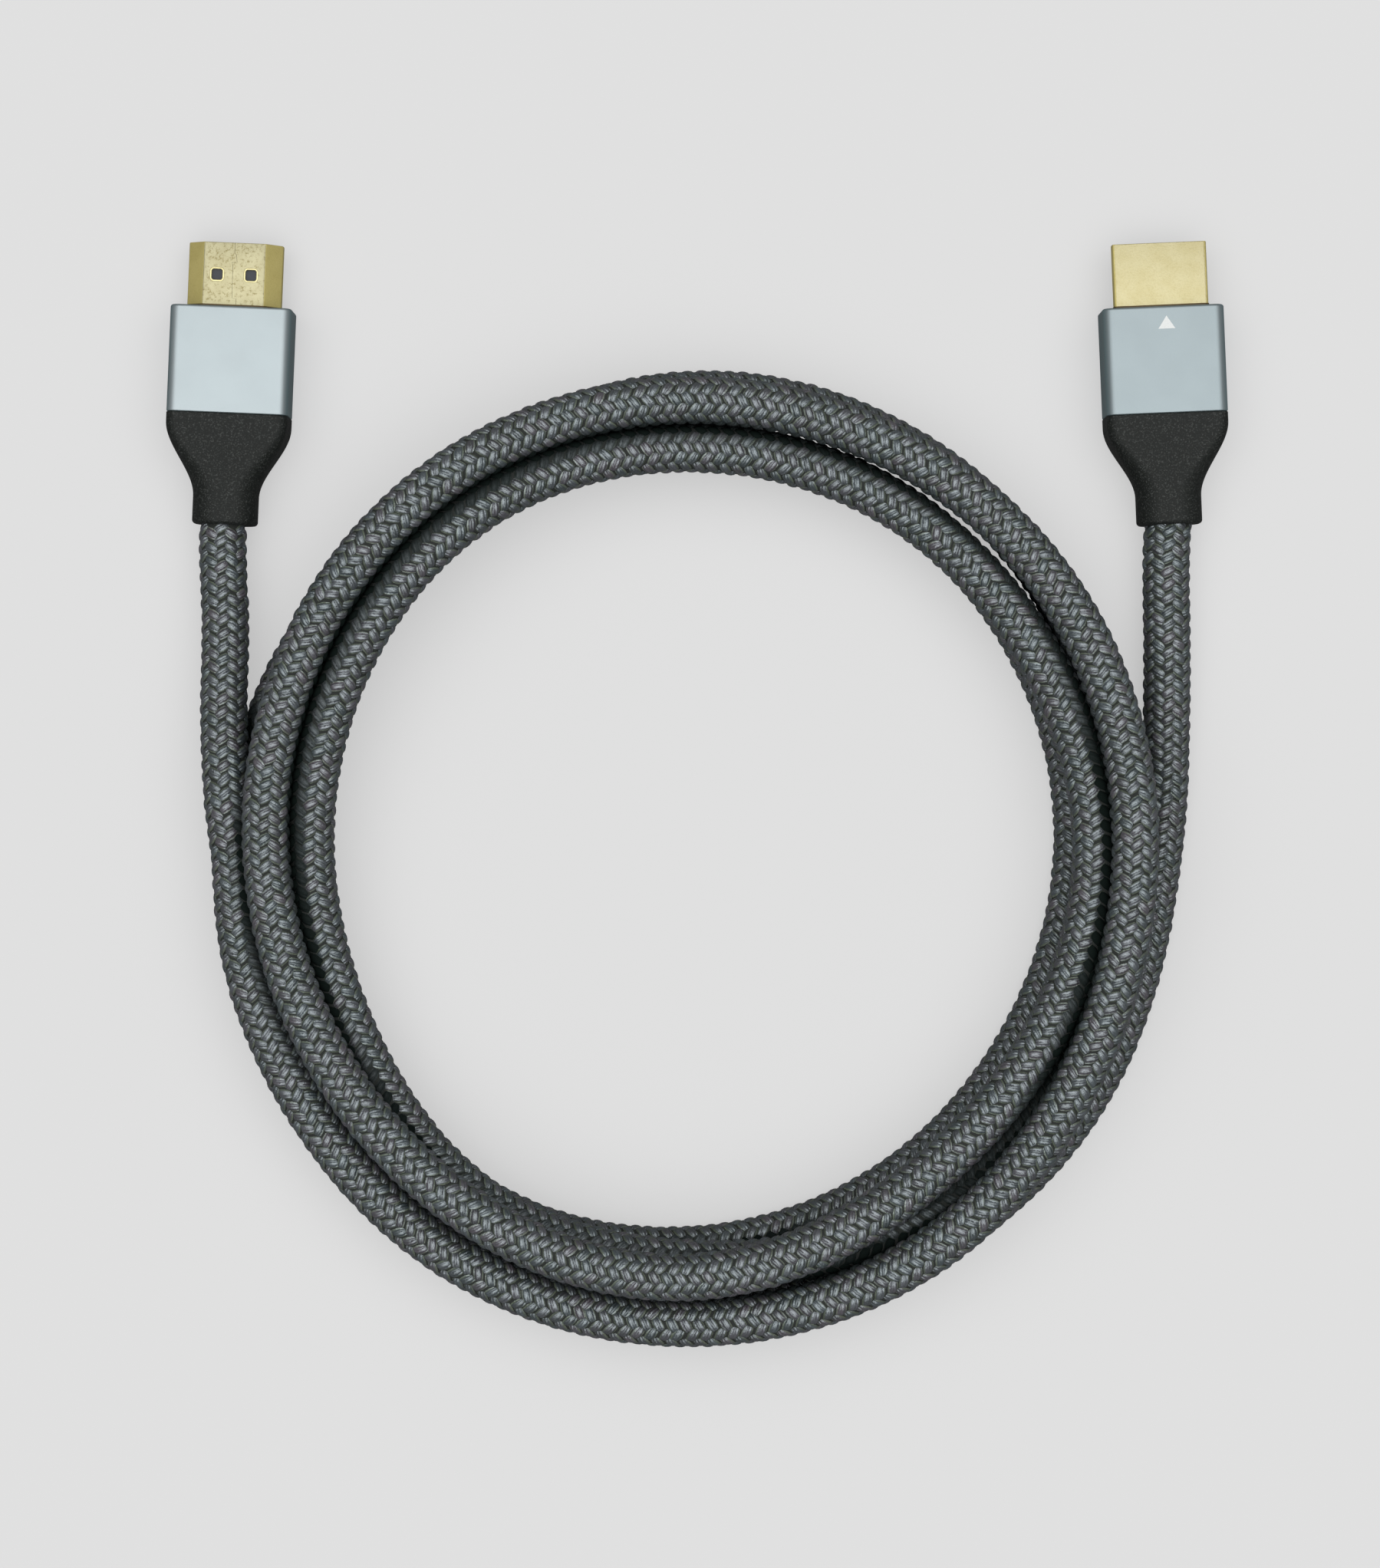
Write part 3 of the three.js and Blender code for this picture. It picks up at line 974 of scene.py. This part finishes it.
@dataclass
class Plug:
    """A plug: shell, insulator, contacts, housing and strain relief, in millimetres.

    Its own frame has the housing's front face at Y = 0, the mouth towards +Y and the shell's wide side up.
    A point of the seam is X and the distance from the mouth, and one of the arrow is X and Y. The relief's
    core starts core_behind further back than the shell's inner end.
    """

    side: Side
    spacing: float = 137.9
    yaw_deg: float = 2.4
    shell_width: float = 13.9
    shell_height: float = 4.45
    narrow_flat: float = 9.0
    side_height: float = 2.1
    shell_corner: float = 0.5
    least_corner: float = 0.08
    shell_wall: float = 0.35
    shell_reach: float = 9.6
    shell_inside: float = 5.0
    shell_lip: float = 0.12
    window: float = 1.6
    window_corner: float = 0.35
    window_spacing: float = 5.0
    window_from_mouth: float = 4.75
    punch_outside: float = 0.3
    punch_depth: float = 1.2
    level_enough: float = 0.9
    rim_reach: float = 0.14
    rim_half: tuple[float, float] = (0.15, 0.07)
    seam: tuple[tuple[float, float], ...] = (
        (0.0, 0.1), (0.0, 1.7), (-0.25, 1.75), (-0.4, 2.9), (0.35, 2.95), (0.22, 3.3), (0.15, 8.2),
        (-0.45, 8.3), (-0.45, 9.6),
    )
    seam_half: float = 0.045
    seam_rise: float = 0.03
    # The collar is painted shadow: a dark band where the shell enters the housing.
    shadow_collar_thickness: float = 0.13
    shadow_collar_reach: float = 0.45
    shadow_collar_depth: float = 1.0
    shadow_collar_edge: tuple[float, float] = (0.07, 0.09)
    overlap: float = 0.02
    mouth_gap: float = 0.25
    mouth_edge: float = 0.08
    mouth_depth: float = 1.2
    housing_width: float = 17.9
    housing_height: float = 10.4
    housing_length: float = 15.7
    housing_edge: float = 1.5
    housing_wall: float = 1.1
    housing_fillet: float = 0.4
    front_radius: float = 0.4
    rear_radius: float = 0.1
    least_angle: float = 0.002
    relief_length: float = 15.95
    relief_shoulder: float = 1.2
    relief_taper: float = 10.6
    neck_width: float = 9.6
    neck_height: float = 9.3
    neck_radius: float = 3.9
    core_gap: float = 3.0
    core_fillet: float = 0.3
    core_behind: float = 2.0
    relief_end: float = 0.55
    relief_edge: float = 0.12
    face_gap: float = 0.3
    shown_gap: float = 0.06
    arrow_corners: tuple[tuple[float, float], ...] = ((0.35, -1.45), (-0.9, -3.35), (1.6, -3.35))
    print_height: float = 0.012
    print_thickness: float = 0.02
    held: list[bpy.types.Object] = field(default_factory=list, init=False)

    @property
    def sign(self) -> int:
        """-1 for the left plug and 1 for the right one."""
        return 1 if self.side is Side.RIGHT else -1

    def placed(self, points: np.ndarray) -> np.ndarray:
        """Points of the plug where it lies, in metres.

        Args:
            points: points in the plug's own frame.

        Returns:
            The same points in the cable's frame.
        """
        length = self.shell_reach + self.housing_length + self.face_gap + self.relief_length
        lie = Matrix.Translation((self.sign * self.spacing / 2, 0, self.housing_height / 2))
        lie = lie @ Matrix.Rotation(math.radians(self.sign * self.yaw_deg), 4, "Z")
        if self.side is Side.LEFT:
            lie = lie @ Matrix.Rotation(math.pi, 4, "Y")
        lie = lie @ Matrix.Translation((0, length / 2 - self.shell_reach, 0))
        matrix = np.array(lie)
        return (np.asarray(points) @ matrix[:3, :3].T + matrix[:3, 3]) * MM

    def piece(
        self, name: str, shape: Shape, material: bpy.types.Material, angle_deg: float = 40
    ) -> bpy.types.Object:
        """Makes a piece of the plug where it lies.

        Args:
            name: its name, without the side.
            shape: its points and faces in the plug's frame.
            material: its material.
            angle_deg: the edge angle up to which it is shaded smooth.

        Returns:
            The piece.
        """
        points, faces = shape
        obj = mesh_object(f"{self.side.value}_{name}", self.placed(points), faces, material)
        obj.data.set_sharp_from_angle(angle=math.radians(angle_deg))
        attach(obj, "root")
        LOG.info("%s: %d faces", obj.name, len(obj.data.polygons))
        return obj

    def _stand_in(self, obj: bpy.types.Object, node: str) -> None:
        """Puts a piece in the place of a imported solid.

        Args:
            obj: the piece.
            node: the solid's name, without the side and the plug.
        """
        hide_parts(f"{self.side.value}_plug_{node}")
        self.held.append(obj)

    def shell_outline(self, distance: float) -> np.ndarray:
        """The shell's outline, wide side up, moved inwards by a distance."""
        wide, narrow, top = self.shell_width / 2, self.narrow_flat / 2, self.shell_height / 2
        low = top - self.side_height
        corners = [(wide, top), (-wide, top), (-wide, low), (-narrow, -top), (narrow, -top), (wide, low)]
        return rounded(inset(corners, distance), max(self.shell_corner - distance, self.least_corner), 8)

    def shell(self, finishes: dict[str, bpy.types.Material]) -> None:
        """Builds the folded shell with its rounded lip, its windows, their rims, its seam and a dark collar
        at its foot that paints the shadow where it enters the housing.

        Args:
            finishes: a material for each kind of piece.
        """
        wall, mouth, rear, lip = self.shell_wall, self.shell_reach, -self.shell_inside, self.shell_lip
        rings = [(self.shell_outline(wall), rear), (self.shell_outline(0), rear)]
        for i in range(7):
            angle = math.pi * i / 6
            drawn_in = wall / 2 * (1 - math.cos(angle))
            rings.append((self.shell_outline(drawn_in), mouth - lip + lip * math.sin(angle)))
        points, faces = skin(rings)
        turned = [tuple(reversed(face)) for face in faces]
        obj = self.piece("plug_shell_sheet", (points, turned), finishes[f"{self.side.value} shell"], 30)
        self._stand_in(obj, "shell")
        half = self.window_spacing / 2
        places = [(x, mouth - self.window_from_mouth) for x in (-half, half)]
        self._cut(obj, [self._punch(x, y) for x, y in places])
        self._gild_sides(obj, finishes["bent sides"])
        self._seam(finishes["seam"])
        for x, y in places:
            self._rim(finishes["rim"], x, y)
        self._shadow_collar(finishes["collar"])

    def _shadow_collar(self, dark: bpy.types.Material) -> None:
        """A dark collar around the shell's foot, with a chamfered edge: painted shadow where the shell enters
        the housing.
        """
        thick, reach, deep = self.shadow_collar_thickness, self.shadow_collar_reach, -self.shadow_collar_depth
        narrow, short = self.shadow_collar_edge
        outer, edge, inner = (self.shell_outline(d) for d in (-thick, narrow - thick, self.overlap))
        rings = [(outer, deep), (outer, reach - short), (edge, reach), (inner, reach), (inner, deep)]
        self.piece("plug_shadow_collar", skin(rings), dark)

    def _punch(self, x: float, y: float) -> Shape:
        """A short bar through the narrow side, with a window's outline.

        Args:
            x: its middle.
            y: its middle.

        Returns:
            Its points and faces.
        """
        outline = rectangle(self.window, self.window, self.window_corner, 6)
        low = -self.shell_height / 2 - self.punch_outside
        points = np.array([(x + a, y + b, z) for z in (low, low + self.punch_depth) for a, b in outline])
        return points, bands(len(outline), 2) + lids(len(outline), 2)

    def _cut(self, obj: bpy.types.Object, shapes: Sequence[Shape]) -> None:
        """Cuts shapes out of a piece and applies the cuts.

        Args:
            obj: the piece.
            shapes: points and faces of each cutter, in the plug's frame.
        """
        cutters = []
        for points, faces in shapes:
            cutter = mesh_object("cutter", self.placed(points), faces, obj.data.materials[0])
            modifier = obj.modifiers.new("cut", "BOOLEAN")
            modifier.operation = "DIFFERENCE"
            modifier.object = cutter
            modifier.solver = "EXACT"
            cutters.append(cutter)
        graph = bpy.context.evaluated_depsgraph_get()
        made = bpy.data.meshes.new_from_object(obj.evaluated_get(graph))
        obj.modifiers.clear()
        obj.data = made
        made.polygons.foreach_set("use_smooth", np.full(len(made.polygons), True))
        made.set_sharp_from_angle(angle=math.radians(25))
        for cutter in cutters:
            bpy.data.objects.remove(cutter)

    def _gild_sides(self, obj: bpy.types.Object, sides: bpy.types.Material) -> None:
        """Gives the faces that don't lie flat a lighter copy of the plating, painted light that makes up for
        the dim light they face.

        Args:
            obj: the shell.
            sides: the lighter copy of the plating.
        """
        obj.data.materials.append(sides)
        for face in obj.data.polygons:
            face.material_index = int(abs(face.normal.z) < self.level_enough)

    def _rim(self, gold: bpy.types.Material, x: float, y: float) -> None:
        """A rounded bead around a window.

        Args:
            gold: a lighter copy of the plating that paints a highlight on the bead.
            x: the window's middle.
            y: the window's middle.
        """
        low = -self.shell_height / 2 + self.overlap
        half, high = self.rim_half
        points: list[tuple[float, float, float]] = []
        for angle in np.arange(8) * math.pi / 4:
            grow = self.rim_reach + half * math.cos(angle)
            outline = rectangle(self.window + 2 * grow, self.window + 2 * grow, self.window_corner + grow, 6)
            points += [(x + a, y + b, low - high * math.sin(angle)) for a, b in outline]
        name = "plug_window_rim_a" if x < 0 else "plug_window_rim_b"
        shape = np.array(points), bands(len(points) // 8, 8, closed=True)
        self.piece(name, shape, gold, 60)

    def _seam(self, gold: bpy.types.Material) -> None:
        """The closed seam down the narrow side, with its dovetail: a fine raised burr.

        Args:
            gold: a dark copy of the plating that paints the shadow along the seam.
        """
        low = -self.shell_height / 2
        foot, rise = low + self.seam_rise, low - self.seam_rise
        line = np.array([(x, self.shell_reach - back) for x, back in self.seam])
        points: list[tuple[float, float, float]] = []
        for i, place in enumerate(line):
            step = line[min(i + 1, len(line) - 1)] - line[max(i - 1, 0)]
            side = np.array([-step[1], step[0]]) / np.linalg.norm(step) * self.seam_half
            points += [(*(place - side), foot), (*place, rise), (*(place + side), foot)]
        shape = np.array(points), bands(3, len(line)) + lids(3, len(line))
        self.piece("plug_seam", shape, gold, 60)

    def housing(self, aluminium: bpy.types.Material) -> None:
        """Builds the rounded sleeve with its closed front, and the mouth that the shell comes through.

        Args:
            aluminium: its finish.
        """
        width, height, edge = self.housing_width, self.housing_height, self.housing_edge
        rear, deep, chamfer = -self.housing_length, -self.mouth_depth, self.mouth_edge
        mouth, wider = (self.shell_outline(-self.mouth_gap - grow) for grow in (0, chamfer))
        inner = rectangle(width - 2 * self.housing_wall, height - 2 * self.housing_wall, self.housing_fillet)
        plain = rectangle(width, height, edge, 12)
        angles = np.sort(np.concatenate([np.arctan2(o[:, 1], o[:, 0]) for o in (mouth, plain)]))
        angles = angles[np.concatenate(([True], np.diff(angles) > self.least_angle))]

        def ring(outline: np.ndarray, y: float) -> Ring:
            """The outline with a point for each angle, at its place."""
            return seen_from_middle(outline, angles), y

        def sleeve(shrink: float, y: float) -> Ring:
            """The sleeve's own outline, drawn in by an amount, at its place."""
            return ring(rectangle(width - 2 * shrink, height - 2 * shrink, edge - shrink, 12), y)

        r = self.front_radius
        rings = [ring(mouth, deep), ring(mouth, -chamfer), ring(wider, 0)]
        for t in np.linspace(0, math.pi / 2, 6):
            rings.append(sleeve(r * (1 - math.sin(t)), -r * (1 - math.cos(t))))
        r = self.rear_radius
        rings += [sleeve(0, rear + r), sleeve(r, rear), ring(inner, rear), ring(inner, deep)]
        obj = self.piece("plug_housing_sleeve", skin(rings), aluminium, 35)
        self._stand_in(obj, "housing")

    def relief_ring(self, distance: float, drawn_in: float) -> Ring:
        """The strain relief's outline at a distance behind the housing, drawn in by an amount.

        Args:
            distance: the distance.
            drawn_in: the amount.

        Returns:
            The outline and its place.
        """
        t = min(max((distance - self.relief_shoulder) / self.relief_taper, 0.0), 1.0)
        share = t * t * (3 - 2 * t)
        width = self.housing_width + (self.neck_width - self.housing_width) * share - 2 * drawn_in
        height = self.housing_height + (self.neck_height - self.housing_height) * share - 2 * drawn_in
        radius = self.housing_edge + (self.neck_radius - self.housing_edge) * share - drawn_in
        return rectangle(width, height, radius, 12), -self.housing_length - self.face_gap - distance

    def relief(self, black: bpy.types.Material) -> None:
        """Builds the strain relief with its core's step and its rounded end.

        Args:
            black: its finish.
        """
        width, height = self.housing_width - self.core_gap, self.housing_height - self.core_gap
        core = rectangle(width, height, self.core_fillet, 12)
        near, edge, end = self.shown_gap - self.face_gap, self.relief_edge, self.relief_end
        front = -self.shell_inside - self.core_behind
        rings = [(core, front), (core, -self.housing_length - self.shown_gap)]
        for t in (0, 0.8, 1.57):
            rings.append(self.relief_ring(near + edge * (1 - math.cos(t)), edge * (1 - math.sin(t))))
        rings += [self.relief_ring(d, 0) for d in np.linspace(0.3, self.relief_length - end, 40)]
        straight = self.relief_length - end
        for t in np.linspace(0.2, math.pi / 2, 6):
            rings.append(self.relief_ring(straight + end * math.sin(t), end * (1 - math.cos(t))))
        obj = self.piece("plug_relief", skin(rings, closed=False), black, 50)
        self._stand_in(obj, "strain_relief")

    def arrow(self, white: bpy.types.Material) -> None:
        """Prints the arrow that shows which side is up.

        Args:
            white: the print's material.
        """
        top = self.housing_height / 2 + self.print_height
        outline = [(x, y, z) for z in (top, top - self.print_thickness) for x, y in self.arrow_corners]
        shape = np.array(outline), [(0, 1, 2), (5, 4, 3), (0, 3, 4, 1), (1, 4, 5, 2), (2, 5, 3, 0)]
        self.piece("plug_arrow", shape, white)

    def dress(self, finishes: dict[str, bpy.types.Material]) -> None:
        """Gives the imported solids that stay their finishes.

        Args:
            finishes: a material for each kind of node.
        """
        start = f"{self.side.value}_plug_"
        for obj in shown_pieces():
            kind = next((k for k in finishes if obj.name.startswith(start + k)), None)
            if kind and "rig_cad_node" in obj:
                for slot in obj.material_slots:
                    slot.material = finishes[kind]
                if kind == "insulator":
                    self.held.append(obj)
                LOG.info("%s dressed as %s", obj.name, finishes[kind].name)

    def build(self, finishes: dict[str, bpy.types.Material]) -> None:
        """Builds and dresses the whole plug.

        Args:
            finishes: a material for each kind of node.
        """
        self.shell(finishes)
        self.housing(finishes[f"{self.side.value} housing"])
        self.relief(finishes["strain_relief"])
        if self.side is Side.RIGHT:
            self.arrow(finishes["arrow"])
        self.dress(finishes)


def made_finishes() -> dict[str, bpy.types.Material]:
    """A material for each kind of piece, by the words that its use starts with."""
    worn = GoldFinish("worn gold plating", (0.37, 0.345, 0.215), (0.22, 0.19, 0.09), 0.9, 0.36, 2100)
    # Painted light: the sloping bent sides get a lighter, yellower copy of the same plating.
    bent = GoldFinish("gold plating on bends with painted light", (0.88, 0.76, 0.3), (0.7, 0.58, 0.19), 0.3, 0.42)
    return {
        "left shell": worn.material(),
        "right shell": GoldFinish().material(),
        "bent sides": bent.material(),
        # Painted highlight: the window rims get a lighter copy of the plating.
        "rim": GoldFinish("window rims with painted highlight", (0.62, 0.56, 0.3), (0.5, 0.44, 0.2), 0.2, 0.3).material(),
        # Painted shadow: the seam gets a dark copy of the plating.
        "seam": GoldFinish("seam in shadow", (0.16, 0.135, 0.06), (0.1, 0.08, 0.03), 0.5, 0.5).material(),
        # Painted shadow: the dark collar stands in for the shadow line where the shell enters the housing.
        "collar": InsulatorFinish("painted shadow collar", (0.09, 0.055, 0.016)).material(),
        "contact": GoldFinish("gold plating on contacts").material(),
        "insulator": InsulatorFinish().material(),
        "left housing": AluminiumFinish().material(),
        # Painted shade: the right housing is the same aluminium, given a darker colour because it is lit less
        # than the left one.
        "right housing": AluminiumFinish((0.254, 0.298, 0.312)).material(),
        "strain_relief": ReliefFinish().material(),
        "arrow": PrintFinish().material(),
    }


def main() -> None:
    """Builds everything."""
    logging.basicConfig(level=logging.INFO, format="%(message)s")
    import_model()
    Studio().build()
    cord = Cord()
    cord.build()
    finishes = made_finishes()
    plugs = {side: Plug(side) for side in Side}
    for plug in plugs.values():
        plug.build(finishes)
    cord.declare()


if __name__ == "__main__":
    main()
